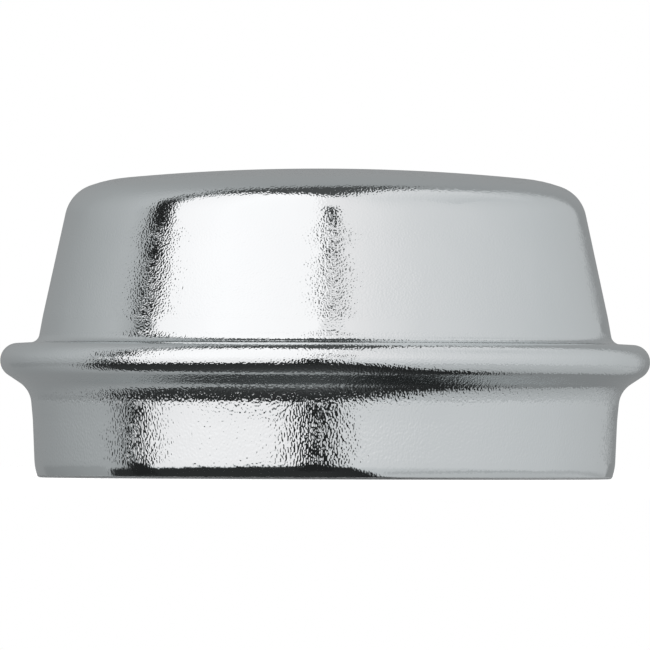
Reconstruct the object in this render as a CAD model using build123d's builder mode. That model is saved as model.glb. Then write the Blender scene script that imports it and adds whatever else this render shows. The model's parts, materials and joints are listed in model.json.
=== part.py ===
from build123d import *
from math import asin, atan2, cos, radians, sin, sqrt, tan
import os

# A hub grease cap: one disc of sheet steel drawn into a cup, with a folded bead that stops it on the hub.
# The origin is the centre of the open rim, and +Z runs up the axis to the crown. Sizes are in millimetres.

# Sheet and overall height, from the open rim to the top of the crown
sheet_thickness = 0.9
cap_height = 26.7

# Skirt, driven into the hub bore: a lead-in cone, a round seat, then a slight taper that grips
seat_diameter = 50.3
seat_length = 3.1
lead_in_depth = 0.37
lead_in_height = 1.6
lead_in_blend = 9.0
grip_rise = 0.32
grip_length = 2.98
grip_blend = 6.0

# Stop bead, folded out of the sheet above the skirt
bead_overhang = 2.9
bead_inside_radius = 0.45
bead_top_slope = 3.0
bead_under_slope = 33.5
bead_root_radius = 1.9

# Cup wall, leaning in from the bead's top to the crown's edge
wall_foot_inset = 0.22
wall_foot_radius = 1.3
wall_lean = 2.88

# Crown: a shallow dome that falls away in a ring before it turns down into the wall
crown_dome_radius = 180.0
crown_ring_width = 3.3
crown_ring_slope = 19.0
crown_edge_inside_radius = 2.4
crown_blend_share = 0.85

# Broken edges of the trimmed rim
rim_edge_break = 0.2

# Radii of the skirt, the bead and the wall
seat_radius = seat_diameter / 2
lip_radius = seat_radius - lead_in_depth
grip_radius = seat_radius + grip_rise
bead_radius = seat_radius + bead_overhang
wall_foot = seat_radius - wall_foot_inset
crown_edge = wall_foot - wall_lean
dome_edge = crown_edge - crown_ring_width

# The bead's nose and the crown's edge are bent round an inside radius, so their outer rounds grow with the sheet.
nose_radius = bead_inside_radius + sheet_thickness
crown_edge_radius = crown_edge_inside_radius + sheet_thickness
nose_half_angle = radians(bead_under_slope + bead_top_slope) / 2
nose_lift_angle = radians(bead_under_slope - bead_top_slope) / 2
nose_reach = nose_radius / sin(nose_half_angle)

# Sharp corners of the outer line, as radius and height, before the bends round them off.
# The line starts below the rim, so that the rim can be trimmed flat.
trim_drop = sheet_thickness
trim_point = (lip_radius - trim_drop * lead_in_depth / lead_in_height, -trim_drop)
lead_in_corner = (seat_radius, lead_in_height)
seat_top_corner = (seat_radius, lead_in_height + seat_length)
bead_root_corner = (grip_radius, lead_in_height + seat_length + grip_length)

nose_corner_radius = bead_radius - nose_radius + nose_reach * cos(nose_lift_angle)
nose_rise = (nose_corner_radius - grip_radius) * tan(radians(bead_under_slope))
nose_corner = (nose_corner_radius, bead_root_corner[1] + nose_rise)

bead_top_rise = (nose_corner_radius - wall_foot) * tan(radians(bead_top_slope))
wall_foot_corner = (wall_foot, nose_corner[1] + bead_top_rise)

dome_sag = crown_dome_radius - sqrt(crown_dome_radius**2 - dome_edge**2)
dome_corner = (dome_edge, cap_height - dome_sag)
crown_corner = (crown_edge, dome_corner[1] - crown_ring_width * tan(radians(crown_ring_slope)))
crown_top = (0, cap_height)

# The blend from the dome into the ring takes most of what the edge round leaves of the ring.
wall_tilt = atan2(wall_lean, crown_corner[1] - wall_foot_corner[1])
crown_edge_turn = radians(90 - crown_ring_slope) - wall_tilt
ring_left = crown_ring_width / cos(radians(crown_ring_slope)) - crown_edge_radius * tan(crown_edge_turn / 2)
dome_turn = radians(crown_ring_slope) - asin(dome_edge / crown_dome_radius)
crown_blend_radius = crown_blend_share * ring_left / tan(dome_turn / 2)

# Grease cap: the outer line is drawn once, the sheet's thickness is laid inside it, and the section is spun.
with BuildPart() as grease_cap:
    with BuildSketch(Plane.XZ):
        with BuildLine() as outer_line:
            FilletPolyline(
                trim_point,
                lead_in_corner,
                seat_top_corner,
                bead_root_corner,
                nose_corner,
                wall_foot_corner,
                crown_corner,
                dome_corner,
                radius=(
                    lead_in_blend,
                    grip_blend,
                    bead_root_radius,
                    nose_radius,
                    wall_foot_radius,
                    crown_edge_radius,
                ),
            )
            RadiusArc(dome_corner, crown_top, -crown_dome_radius)
            fillet(outer_line.vertices().sort_by_distance(dome_corner)[0], radius=crown_blend_radius)
            offset(amount=sheet_thickness, side=Side.LEFT, kind=Kind.INTERSECTION, closed=True)
        make_face()
    revolve(axis=Axis.Z)

    # The rim is trimmed flat across, and its two sheared edges are broken.
    split(bisect_by=Plane.XY, keep=Keep.TOP)
    rim_face = grease_cap.faces().sort_by(Axis.Z)[0]
    chamfer(rim_face.edges(), length=rim_edge_break)

grease_cap.part.label = "grease_cap"

os.makedirs("parts", exist_ok=True)
export_step(grease_cap.part, "parts/grease_cap.step")
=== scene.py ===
import bpy
import json
import numpy as np
from math import atan2, ceil, cos, hypot, pi, radians, sin, tan
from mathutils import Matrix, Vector


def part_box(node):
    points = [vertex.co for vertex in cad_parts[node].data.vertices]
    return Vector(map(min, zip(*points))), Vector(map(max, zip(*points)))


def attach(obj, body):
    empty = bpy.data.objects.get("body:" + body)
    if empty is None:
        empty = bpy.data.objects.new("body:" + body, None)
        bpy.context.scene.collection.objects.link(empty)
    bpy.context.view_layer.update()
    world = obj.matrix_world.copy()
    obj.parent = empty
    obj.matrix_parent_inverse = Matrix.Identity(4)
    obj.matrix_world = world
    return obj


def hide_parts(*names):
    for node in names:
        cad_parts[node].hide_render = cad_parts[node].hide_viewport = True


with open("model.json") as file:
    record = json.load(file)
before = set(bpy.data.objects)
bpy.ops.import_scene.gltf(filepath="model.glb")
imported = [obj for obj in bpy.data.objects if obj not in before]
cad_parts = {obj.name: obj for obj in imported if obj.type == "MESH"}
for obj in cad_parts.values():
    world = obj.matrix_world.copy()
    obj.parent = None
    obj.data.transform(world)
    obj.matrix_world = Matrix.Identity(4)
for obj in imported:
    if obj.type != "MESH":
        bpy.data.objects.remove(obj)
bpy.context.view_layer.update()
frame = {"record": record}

# Grease cap: a disc of sheet steel, drawn into a cup, folded out into a stop bead, trimmed flat at its rim
# and plated bright. Its outer line is drawn bend by bend, from the crown's centre down past the rim, and
# spun round the axis. Then the sheet gets its thickness, and the rim is trimmed and its edges are broken.
mm = 0.001
_, cap_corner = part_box("grease_cap")
cap_height = cap_corner.z
bead_radius = cap_corner.x
for mount in frame["record"]["mounts"]:
    if mount["name"] == "hub_seat":
        seat_radius = mount["dims"]["r_mm"] * mm
sheet_thickness = 0.9 * mm
rim_edge_break = 0.2 * mm

# Skirt: a short lead-in at the lip, a taper with the seat's size half way up, and a wider one to the bead
seat_height = 3.5 * mm
skirt_lean = radians(2.4)
lip_height = 0.94 * mm
lip_lean = radians(16.0)
lip_blend = 4.9 * mm
grip_height = 5.0 * mm
grip_lean = radians(5.5)
grip_blend = 14.0 * mm

# Stop bead
root_height = 7.56 * mm
bead_root_radius = 2.25 * mm
bead_under_slope = radians(33.5)
bead_top_slope = radians(3.0)
nose_radius = 0.6 * mm + sheet_thickness

# Wall, a little steeper just over its foot
wall_foot = seat_radius - 0.36 * mm
wall_foot_radius = 0.8 * mm
wall_neck = seat_radius - 0.765 * mm
wall_neck_height = 13.9 * mm
wall_neck_blend = 12.0 * mm

# Crown: a ring that turns down to the wall, round a shallow dome
crown_edge = seat_radius - 3.09 * mm
crown_edge_radius = 2.4 * mm + sheet_thickness
crown_ring_width = 3.3 * mm
crown_ring_slope = radians(19.0)
crown_blend_radius = 12.2 * mm
crown_dome_radius = 180.0 * mm
crown_dome_slope = radians(5.51)

# The outer line's sharp corners, from the crown's centre to the rim: radius, height and the bend's radius
lip_corner = seat_radius - (seat_height - lip_height) * tan(skirt_lean)
grip_corner = seat_radius + (grip_height - seat_height) * tan(skirt_lean)
root_corner = grip_corner + (root_height - grip_height) * tan(grip_lean)
nose_reach = nose_radius / sin((bead_under_slope + bead_top_slope) / 2)
nose_corner = bead_radius - nose_radius + nose_reach * cos((bead_under_slope - bead_top_slope) / 2)
nose_height = root_height + (nose_corner - root_corner) * tan(bead_under_slope)
foot_height = nose_height + (nose_corner - wall_foot) * tan(bead_top_slope)
dome_tangent = crown_dome_radius * tan(crown_dome_slope / 2)
ring_start = crown_edge - crown_ring_width
ring_height = cap_height - (ring_start - dome_tangent) * tan(crown_dome_slope)
crown_edge_height = ring_height - crown_ring_width * tan(crown_ring_slope)
trim_drop = sheet_thickness
trim_corner = lip_corner - (lip_height + trim_drop) * tan(lip_lean)
bends = (
    (dome_tangent, cap_height, crown_dome_radius),
    (ring_start, ring_height, crown_blend_radius),
    (crown_edge, crown_edge_height, crown_edge_radius),
    (wall_neck, wall_neck_height, wall_neck_blend),
    (wall_foot, foot_height, wall_foot_radius),
    (nose_corner, nose_height, nose_radius),
    (root_corner, root_height, bead_root_radius),
    (grip_corner, grip_height, grip_blend),
    (lip_corner, lip_height, lip_blend),
    (trim_corner, -trim_drop, 0),
)


def new_material(name):
    """An empty node material."""
    material = bpy.data.materials.new(name)
    material.use_nodes = True
    material.node_tree.nodes.clear()
    return material


def shader_node(material, kind, inputs=None, **settings):
    """Adds a node to a material, with its settings, and sets or links its inputs by name or number."""
    tree = material.node_tree
    node = tree.nodes.new(kind)
    for name, value in settings.items():
        setattr(node, name, value)
    for name, value in (inputs or {}).items():
        if isinstance(value, bpy.types.NodeSocket):
            tree.links.new(value, node.inputs[name])
        else:
            node.inputs[name].default_value = value
    return node


def own_place(material):
    """The piece's own coordinates, as its material reads them."""
    return shader_node(material, "ShaderNodeTexCoord").outputs["Object"]


def noise(material, place, scale, detail=2.0, roughness=0.5):
    """A noise value from 0 to 1 over a place, with a scale in waves to the metre."""
    inputs = {"Vector": place, "Scale": scale, "Detail": detail, "Roughness": roughness}
    return shader_node(material, "ShaderNodeTexNoise", inputs).outputs["Fac"]


def spread(material, value, start, end, low, high):
    """Spreads a value from one range over another, held at both ends."""
    inputs = {"Value": value, "From Min": start, "From Max": end, "To Min": low, "To Max": high}
    return shader_node(material, "ShaderNodeMapRange", inputs).outputs["Result"]


def arithmetic(material, operation, first, second):
    """Puts two values through one operation of arithmetic."""
    inputs = {0: first, 1: second}
    return shader_node(material, "ShaderNodeMath", inputs, operation=operation).outputs["Value"]


def mix_colour(material, share, first, second):
    """A colour between two colours."""
    inputs = {"Factor": share, 6: (*first, 1.0), 7: (*second, 1.0)}
    return shader_node(material, "ShaderNodeMix", inputs, data_type="RGBA").outputs[2]


def finish_metal(material, colour, roughness, relief, depth):
    """Closes a bare metal's nodes with its shader, whose bump stands up by the given depth."""
    bump_inputs = {"Height": relief, "Strength": 1.0, "Distance": depth}
    bump = shader_node(material, "ShaderNodeBump", bump_inputs).outputs["Normal"]
    inputs = {"Base Color": colour, "Metallic": 1.0, "Roughness": roughness, "Normal": bump}
    shader = shader_node(material, "ShaderNodeBsdfPrincipled", inputs)
    shader_node(material, "ShaderNodeOutputMaterial", {"Surface": shader.outputs["BSDF"]})


# Bright plating outside. It follows the drawn sheet's grain, which is tall on the skirt and flatter on the
# wall, coarse where the sheet was worked hard and almost gone just over the wall's foot. Slow waves from
# the drawing lie under it, and small pits where the bead leaves the skirt.
grain_scale = 5800.0
skirt_grain_squeeze = 0.72
wall_grain_squeeze = 1.2
wall_grain_start = 3.6 * mm
wave_scale = 300.0
wave_share = 0.88
pit_scale = 6500.0
pit_threshold = 0.64
pit_share = 2.6
pits_low = (6.0 * mm, 6.6 * mm)
pits_high = (7.3 * mm, 7.7 * mm)
haze_scale = 220.0
bright_tones = ((0.738, 0.770, 0.776), (0.770, 0.800, 0.805))
bright_mattness = (0.04, 0.075)
bright_depth = 0.045 * mm

# Height over the rim in millimetres, and the grain's strength there
grain_levels = (
    (1.1, 0.10),
    (1.45, 0.60),
    (4.6, 0.62),
    (5.4, 0.42),
    (6.2, 0.50),
    (6.6, 0.80),
    (7.4, 0.80),
    (8.2, 0.45),
    (11.0, 0.50),
    (12.4, 0.50),
    (12.65, 0.10),
    (13.3, 0.10),
    (13.8, 0.36),
    (16.5, 0.44),
    (18.2, 0.38),
    (19.2, 0.23),
    (20.6, 0.44),
    (22.2, 0.17),
    (23.6, 0.18),
    (24.8, 0.50),
)
bright_plating = new_material("bright_plating")
place = own_place(bright_plating)
place_parts = shader_node(bright_plating, "ShaderNodeSeparateXYZ", {"Vector": place}).outputs
over_rim = place_parts["Z"]
over_start = arithmetic(bright_plating, "SUBTRACT", over_rim, wall_grain_start)
skirt_run = arithmetic(bright_plating, "MULTIPLY", over_rim, skirt_grain_squeeze)
wall_run = arithmetic(bright_plating, "MULTIPLY", over_start, wall_grain_squeeze)
grain_run = arithmetic(bright_plating, "MAXIMUM", skirt_run, wall_run)
grain_parts = {"X": place_parts["X"], "Y": place_parts["Y"], "Z": grain_run}
grain_place = shader_node(bright_plating, "ShaderNodeCombineXYZ", grain_parts).outputs["Vector"]
grain = noise(bright_plating, grain_place, grain_scale, 0.0)
height_share = arithmetic(bright_plating, "DIVIDE", over_rim, cap_height)
grain_ramp = shader_node(bright_plating, "ShaderNodeValToRGB", {"Fac": height_share})
grain_stops = grain_ramp.color_ramp.elements
for level_height, level in grain_levels:
    stop = grain_stops.new(level_height * mm / cap_height)
    stop.color = (level, level, level, 1.0)
grain_stops.remove(grain_stops[0])
grain_stops.remove(grain_stops[-1])
grain_strength = grain_ramp.outputs["Color"]
grain_swing = arithmetic(bright_plating, "SUBTRACT", grain, 0.5)
grain_relief = arithmetic(bright_plating, "MULTIPLY", grain_swing, grain_strength)
waves = noise(bright_plating, place, wave_scale, 1.0, 0.4)
wave_relief = arithmetic(bright_plating, "MULTIPLY", waves, wave_share)
sheet_relief = arithmetic(bright_plating, "ADD", grain_relief, wave_relief)
pit_field = noise(bright_plating, place, pit_scale, 0.0)
pit_rest = arithmetic(bright_plating, "SUBTRACT", pit_field, pit_threshold)
pits = arithmetic(bright_plating, "MAXIMUM", pit_rest, 0.0)
pits_begin = spread(bright_plating, over_rim, *pits_low, 0.0, pit_share)
pits_end = spread(bright_plating, over_rim, *pits_high, 1.0, 0.0)
root_share = arithmetic(bright_plating, "MULTIPLY", pits_begin, pits_end)
root_pits = arithmetic(bright_plating, "MULTIPLY", pits, root_share)
bright_relief = arithmetic(bright_plating, "SUBTRACT", sheet_relief, root_pits)
haze = noise(bright_plating, place, haze_scale, 3.0)
bright_colour = mix_colour(bright_plating, haze, *bright_tones)
bright_roughness = spread(bright_plating, haze, 0.3, 0.7, *bright_mattness)
finish_metal(bright_plating, bright_colour, bright_roughness, bright_relief, bright_depth)

# Inside, the plating is thin and dull over the marks that the punch drew down the sheet.
mark_scale = 95.0
mark_stretch = (9.0, 9.0, 9.0)
mark_share = 1.6
blotch_scale = 160.0
dull_grain_scale = 3600.0
dull_tones = ((0.50, 0.51, 0.51), (0.70, 0.71, 0.705))
dull_mattness = (0.42, 0.26)
dull_depth = 0.008 * mm
dull_plating = new_material("dull_plating")
place = own_place(dull_plating)
flat_place = shader_node(
    dull_plating, "ShaderNodeVectorMath", {0: place, 1: (1.0, 1.0, 0.0)}, operation="MULTIPLY"
).outputs["Vector"]
way_out = shader_node(
    dull_plating, "ShaderNodeVectorMath", {0: flat_place}, operation="NORMALIZE"
).outputs["Vector"]
mark_place = shader_node(
    dull_plating, "ShaderNodeVectorMath", {0: place, 1: mark_stretch, 2: way_out}, operation="MULTIPLY_ADD"
).outputs["Vector"]
draw_marks = noise(dull_plating, mark_place, mark_scale, 3.0, 0.65)
blotches = noise(dull_plating, place, blotch_scale, 4.0, 0.6)
dull_grain = noise(dull_plating, place, dull_grain_scale, 2.0, 0.6)
mark_relief = arithmetic(dull_plating, "MULTIPLY", draw_marks, mark_share)
dull_relief = arithmetic(dull_plating, "ADD", mark_relief, dull_grain)
dull_colour = mix_colour(dull_plating, blotches, *dull_tones)
dull_roughness = spread(dull_plating, blotches, 0.3, 0.7, *dull_mattness)
finish_metal(dull_plating, dull_colour, dull_roughness, dull_relief, dull_depth)

# The rim was sheared before plating, and its face is torn and matt in places.
tear_scale = 2600.0
tear_stretch = (1.0, 1.0, 0.2)
tear_tones = ((0.62, 0.635, 0.64), (0.80, 0.815, 0.82))
tear_mattness = (0.6, 0.35)
tear_depth = 0.02 * mm
sheared_edge = new_material("sheared_edge")
place = own_place(sheared_edge)
tear_inputs = {"Vector": place, "Scale": tear_stretch}
tear_place = shader_node(sheared_edge, "ShaderNodeMapping", tear_inputs).outputs["Vector"]
tears = noise(sheared_edge, tear_place, tear_scale, 3.0, 0.65)
tear_colour = mix_colour(sheared_edge, tears, *tear_tones)
tear_roughness = spread(sheared_edge, tears, 0.35, 0.65, *tear_mattness)
finish_metal(sheared_edge, tear_colour, tear_roughness, tears, tear_depth)

# The outer line's steps, along a run, round a bend and round the axis
run_step = 1.2 * mm
hold_step = 0.12 * mm
bend_step = radians(4.0)
least_bend_steps = 3
steps_around = 224
merge_distance = 0.001 * mm


def draw_to(start, end):
    """Draws the line's loose end straight on to a point. Short steps at both ends hold the shading."""
    run = end - start
    hold = min(hold_step, run.length / 3)
    steps = ceil((run.length - 2 * hold) / run_step)
    even_step = (run.length - 2 * hold) / steps
    for step in (hold, *[even_step] * steps, hold):
        bpy.ops.mesh.extrude_region_move(TRANSFORM_OT_translate={"value": run.normalized() * step})


bpy.ops.object.select_all(action="DESELECT")
bpy.ops.mesh.primitive_plane_add(size=sheet_thickness, location=(0, 0, 0))
cap = bpy.context.object
cap.name = "plated_cap"
cap.data.name = "plated_cap"
for finish in (bright_plating, dull_plating, sheared_edge):
    cap.data.materials.append(finish)
dull_slot = cap.data.materials.find("dull_plating")
sheared_slot = cap.data.materials.find("sheared_edge")
bpy.ops.object.mode_set(mode="EDIT")
bpy.ops.mesh.select_mode(type="VERT")
bpy.ops.mesh.select_all(action="SELECT")
bpy.ops.mesh.merge(type="CENTER")
bpy.ops.transform.translate(value=(0, 0, cap_height))
line_end = Vector((0, 0, cap_height))
for (radius, height, bend_radius), (next_radius, next_height, _) in zip(bends, bends[1:]):
    corner = Vector((radius, 0, height))
    run_in = (corner - line_end).normalized()
    run_out = (Vector((next_radius, 0, next_height)) - corner).normalized()
    turn = run_in.angle(run_out)
    turn_axis = run_in.cross(run_out).normalized()
    setback = bend_radius * tan(turn / 2)
    bend_start = corner - run_in * setback
    if (bend_start - line_end).length > merge_distance:
        draw_to(line_end, bend_start)
    bpy.ops.mesh.spin(
        steps=max(least_bend_steps, ceil(turn / bend_step), ceil(bend_radius * turn / run_step)),
        angle=-turn,
        center=bend_start + turn_axis.cross(run_in) * bend_radius,
        axis=turn_axis,
    )
    line_end = corner + run_out * setback
draw_to(line_end, Vector((trim_corner, 0, -trim_drop)))
bpy.ops.mesh.select_all(action="SELECT")
bpy.ops.mesh.spin(steps=steps_around, angle=2 * pi, center=(0, 0, 0), axis=(0, 0, 1))
bpy.ops.mesh.select_all(action="SELECT")
bpy.ops.mesh.remove_doubles(threshold=merge_distance)
bpy.ops.mesh.normals_make_consistent(inside=False)
bpy.ops.object.mode_set(mode="OBJECT")

# The sheet's thickness, inwards, with the dull plating inside
sheet = cap.modifiers.new("sheet", "SOLIDIFY")
sheet.thickness = sheet_thickness
sheet.offset = -1
sheet.use_even_offset = True
sheet.use_quality_normals = True
sheet.material_offset = dull_slot
bpy.ops.object.modifier_apply(modifier=sheet.name)

# The rim, trimmed flat, closed, and broken at both its edges
bpy.ops.object.mode_set(mode="EDIT")
bpy.ops.mesh.select_all(action="SELECT")
bpy.ops.mesh.bisect(
    plane_co=(0, 0, 0), plane_no=(0, 0, 1), clear_inner=True, threshold=0.1 * merge_distance
)
bpy.ops.mesh.select_all(action="DESELECT")
bpy.ops.mesh.select_non_manifold()
bpy.ops.mesh.bridge_edge_loops()
cap.active_material_index = sheared_slot
bpy.ops.object.material_slot_assign()
bpy.ops.mesh.select_mode(type="EDGE")
bpy.ops.mesh.select_all(action="DESELECT")
bpy.ops.object.mode_set(mode="OBJECT")
for edge in cap.data.edges:
    ends = [cap.data.vertices[i].co for i in edge.vertices]
    on_rim = max(abs(end.z) for end in ends) < merge_distance
    follows_rim = abs(ends[0].xy.length - ends[1].xy.length) < 10 * merge_distance
    edge.select = on_rim and follows_rim
bpy.ops.object.mode_set(mode="EDIT")
bpy.ops.mesh.bevel(offset=rim_edge_break, segments=3, affect="EDGES", material=sheared_slot)
bpy.ops.object.mode_set(mode="OBJECT")
bpy.ops.object.shade_smooth()
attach(cap, "root")
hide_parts("grease_cap")

# Light table: a pale, translucent sheet that the cap stands on, lit a little from below. It fades out into
# the white behind it, and keeps the cap's soft shadow.
table_radius = 0.3
table_drop = 0.02 * mm
fade_start = 0.35 * table_radius
table_tone = (0.85, 0.85, 0.85, 1.0)
table_strength = 0.6
bpy.ops.object.select_all(action="DESELECT")
bpy.ops.mesh.primitive_circle_add(
    vertices=96, radius=table_radius, fill_type="NGON", location=(0, 0, -table_drop)
)
table = bpy.context.object
table.name = "light_table"
table.visible_glossy = False
table_sheet = new_material("table_sheet")
place = own_place(table_sheet)
reach = shader_node(table_sheet, "ShaderNodeVectorMath", {0: place}, operation="LENGTH").outputs["Value"]
fade = spread(table_sheet, reach, fade_start, table_radius, 0.0, 1.0)
table_white = shader_node(table_sheet, "ShaderNodeBsdfDiffuse", {"Color": table_tone})
table_glow = shader_node(table_sheet, "ShaderNodeEmission", {"Strength": table_strength})
table_layers = {0: table_white.outputs["BSDF"], 1: table_glow.outputs["Emission"]}
table_lit = shader_node(table_sheet, "ShaderNodeAddShader", table_layers).outputs["Shader"]
table_clear = shader_node(table_sheet, "ShaderNodeBsdfTransparent").outputs["BSDF"]
table_fade = {0: fade, 1: table_lit, 2: table_clear}
table_surface = shader_node(table_sheet, "ShaderNodeMixShader", table_fade).outputs["Shader"]
shader_node(table_sheet, "ShaderNodeOutputMaterial", {"Surface": table_surface})
table.data.materials.append(table_sheet)

# Light tent: the metal mirrors what stands round it, so a tent that the camera doesn't see carries cards.
# A card's corner is a bearing round the cap from the camera, + to the right, and a rise, in degrees. Over
# the cap it is how far the corner lies aside, + to the right, and how far over from the camera.
tent_radius = 0.7
flag_edge = 1.2
card_edge = 1.5
soft_edge = 2.0
bpy.ops.object.select_all(action="DESELECT")
bpy.ops.mesh.primitive_uv_sphere_add(
    segments=360, ring_count=180, radius=tent_radius, location=(0, 0, 0)
)
tent = bpy.context.object
tent.name = "light_tent"
tent.visible_camera = False
tent_points = np.array([vertex.co for vertex in tent.data.vertices]) / tent_radius
rightward, backward, upward = np.clip(tent_points, -1.0, 1.0).T
bearing = np.degrees(np.arctan2(rightward, -backward))
rise = np.degrees(np.arcsin(upward))
aside = np.degrees(np.arcsin(rightward))
over = np.degrees(np.arctan2(upward, -backward))

# The bare cloth is dimmer towards the floor, and lighter at the left.
glow = np.interp(rise, (-90, -20, 0, 12, 40, 90), (0.27, 0.26, 0.29, 0.335, 0.375, 0.36))
side_light = np.interp(bearing, (-180, -140, -95, -60, 180), (0.0, 0.06, 0.215, 0.0, 0.0))
glow = glow + side_light * np.interp(rise, (-5, 15), (0.8, 1.0))


def hang_card(tent_glow, across, up, corners, card_glow, soft):
    """Lays a card's glow over the tent's. Corners run counter-clockwise, edges fade over soft degrees."""
    depth = np.full(len(tent_glow), np.inf)
    for (x, y), (next_x, next_y) in zip(corners, corners[1:] + corners[:1]):
        cross = (next_x - x) * (up - y) - (next_y - y) * (across - x)
        depth = np.minimum(depth, cross / hypot(next_x - x, next_y - y))
    share = np.clip(depth / soft + 0.5, 0.0, 1.0)
    share = share * share * (3 - 2 * share)
    return tent_glow + (card_glow - tent_glow) * share


# Fill card at the right. It falls off low down, a dimmer hem crosses it, and its top reaches over the cap.
lowness = np.interp(rise, (-5, 20), (1.0, 0.0))
fill_fall = np.interp(bearing, (10, 40, 60, 100), (0.22, 0.15, 0.10, 0.05)) * lowness
fill_glow = np.interp(bearing, (6, 40, 90, 135, 152), (1.03, 0.83, 0.69, 0.585, 0.53)) * (1 - fill_fall)
fill_glow = fill_glow * np.interp(rise, (-56, -40, -19, -14), (0.62, 0.77, 0.86, 1.0))
fill_hem_share = 0.82
fill_top_glow = np.interp(aside, (0, 20, 45), (1.0, 0.82, 0.64))
fill_corners = ((-6, -24), (60, -55), (112, -55), (156, -22), (146, 24), (132, 70), (-6, 82))
fill_hem_corners = ((26, -27), (150, -10), (150, -7.5), (26, -23.5))
fill_top_corners = ((-2, 70), (45, 70), (45, 130), (-2, 90))
glow = hang_card(glow, bearing, rise, fill_corners, fill_glow, card_edge)
glow = hang_card(glow, bearing, rise, fill_hem_corners, fill_hem_share * fill_glow, soft_edge)
glow = hang_card(glow, aside, over, fill_top_corners, fill_top_glow, card_edge)

# Softbox at the left, and a dimmer hem in the bare cloth beyond it
softbox_fall = 0.15 * lowness
softbox_glow = np.interp(bearing, (-75, -45, -3), (1.20, 1.29, 1.22)) * (1 - softbox_fall)
cloth_hem_share = 0.87
softbox_corners = ((-75, -20), (-2, -20), (-2, 83), (-86, 83))
cloth_hem_corners = ((-150, -12), (-98, -22), (-98, -10.5), (-150, -4.5))
glow = hang_card(glow, bearing, rise, softbox_corners, softbox_glow, soft_edge)
glow = hang_card(glow, bearing, rise, cloth_hem_corners, cloth_hem_share * glow, soft_edge)

# Dark cloth low in front, which runs on under the fill card, as corners and the edge's width
dark_glow = np.interp(rise, (-82, -68, -50, -20), (0.12, 0.07, 0.04, 0.03))
dark_glow = dark_glow * np.interp(bearing, (0, 40), (1.0, 0.35))
dark_cloths = (
    (((-108, -47), (40, -47), (8, -14.5), (-95, -14.5)), 3),
    (((-88, -82), (50, -85), (50, -57), (38, -44), (-108, -44)), 4),
    (((46, -80), (150, -84), (140, -58), (46, -57)), 6),
)
for corners, soft in dark_cloths:
    glow = hang_card(glow, bearing, rise, corners, dark_glow, soft)

# Black flags, three at the left and two in the middle, as corners and the edge's width
flag_glow = 0.02
flags = (
    (((-85, -24), (-73, -24), (-73.5, 5), (-84, 5)), soft_edge),
    (((-84, 15.9), (-74.5, 15.9), (-73.5, 26), (-86.5, 26)), flag_edge),
    (((-86, 25), (-73.5, 25), (-84, 46), (-95, 46)), soft_edge),
    (((0.3, 22.8), (5.7, 22.8), (5.7, 27), (4.3, 40), (1.8, 40), (0.3, 27)), flag_edge),
    (((-11, -24), (3.5, -24), (3, 7), (-10, 7)), soft_edge),
)
for corners, soft in flags:
    glow = hang_card(glow, bearing, rise, corners, flag_glow, soft)

# Overhead flags, which the crown's edge mirrors as one line
overhead_glow = 0.085
overhead_flags = (
    ((-52, 87), (-24, 91), (-24, 97), (-52, 95)),
    ((-25, 91), (-3, 79), (-3, 111), (-25, 99)),
    ((-4, 78), (5, 69), (5, 116), (-4, 110)),
    ((4, 69.5), (11, 97), (11, 121), (4, 116)),
)
for corners in overhead_flags:
    glow = hang_card(glow, aside, over, corners, overhead_glow, soft_edge)

# The tent's own tint, cool where it is dim and a little warm where it is brightest
dim_tint = (0.96, 1.0, 1.01, 1.0)
card_tint = (0.985, 1.0, 1.015, 1.0)
card_level = 0.65
white_tint = (1.0, 0.97, 0.975, 1.0)
glow_attribute = tent.data.attributes.new("glow", "FLOAT", "POINT")
glow_attribute.data.foreach_set("value", glow.astype(np.float32))
tent_cloth = new_material("tent_cloth")
tent_level = shader_node(tent_cloth, "ShaderNodeAttribute", attribute_name="glow").outputs["Fac"]
tent_tint = shader_node(tent_cloth, "ShaderNodeValToRGB", {"Fac": tent_level})
tint_stops = tent_tint.color_ramp.elements
tint_stops[0].color = dim_tint
tint_stops[1].color = white_tint
tint_stops.new(card_level).color = card_tint
tent_inputs = {"Color": tent_tint.outputs["Color"], "Strength": tent_level}
tent_light = shader_node(tent_cloth, "ShaderNodeEmission", tent_inputs).outputs["Emission"]
shader_node(tent_cloth, "ShaderNodeOutputMaterial", {"Surface": tent_light})
tent_cloth.cycles.emission_sampling = "NONE"
tent.data.materials.append(tent_cloth)

# White surround behind it all, seen past the table
scene = bpy.context.scene
scene.world = bpy.data.worlds.new("white_surround")
scene.world.use_nodes = True
surround = scene.world.node_tree.nodes["Background"]
surround.inputs["Color"].default_value = (1.0, 1.0, 1.0, 1.0)
surround.inputs["Strength"].default_value = 1.0
scene.view_settings.view_transform = "Standard"

# Camera: far off and almost level with the bead, so that the rims look straight
camera_distance = 1.3
camera_height = 5.5 * mm
view_middle = 13.22 * mm
frame_width = 56.1 * mm
camera_pitch = atan2(view_middle - camera_height, camera_distance)
camera_roll = radians(-0.2)
camera_data = bpy.data.cameras.new("camera")
camera_data.sensor_width = 36.0
camera_data.lens = camera_data.sensor_width * camera_distance / frame_width
camera_data.clip_end = 10.0
camera = bpy.data.objects.new("camera", camera_data)
scene.collection.objects.link(camera)
camera.location = (0, -camera_distance, camera_height)
camera.rotation_euler = (pi / 2 + camera_pitch, camera_roll, 0)
scene.camera = camera
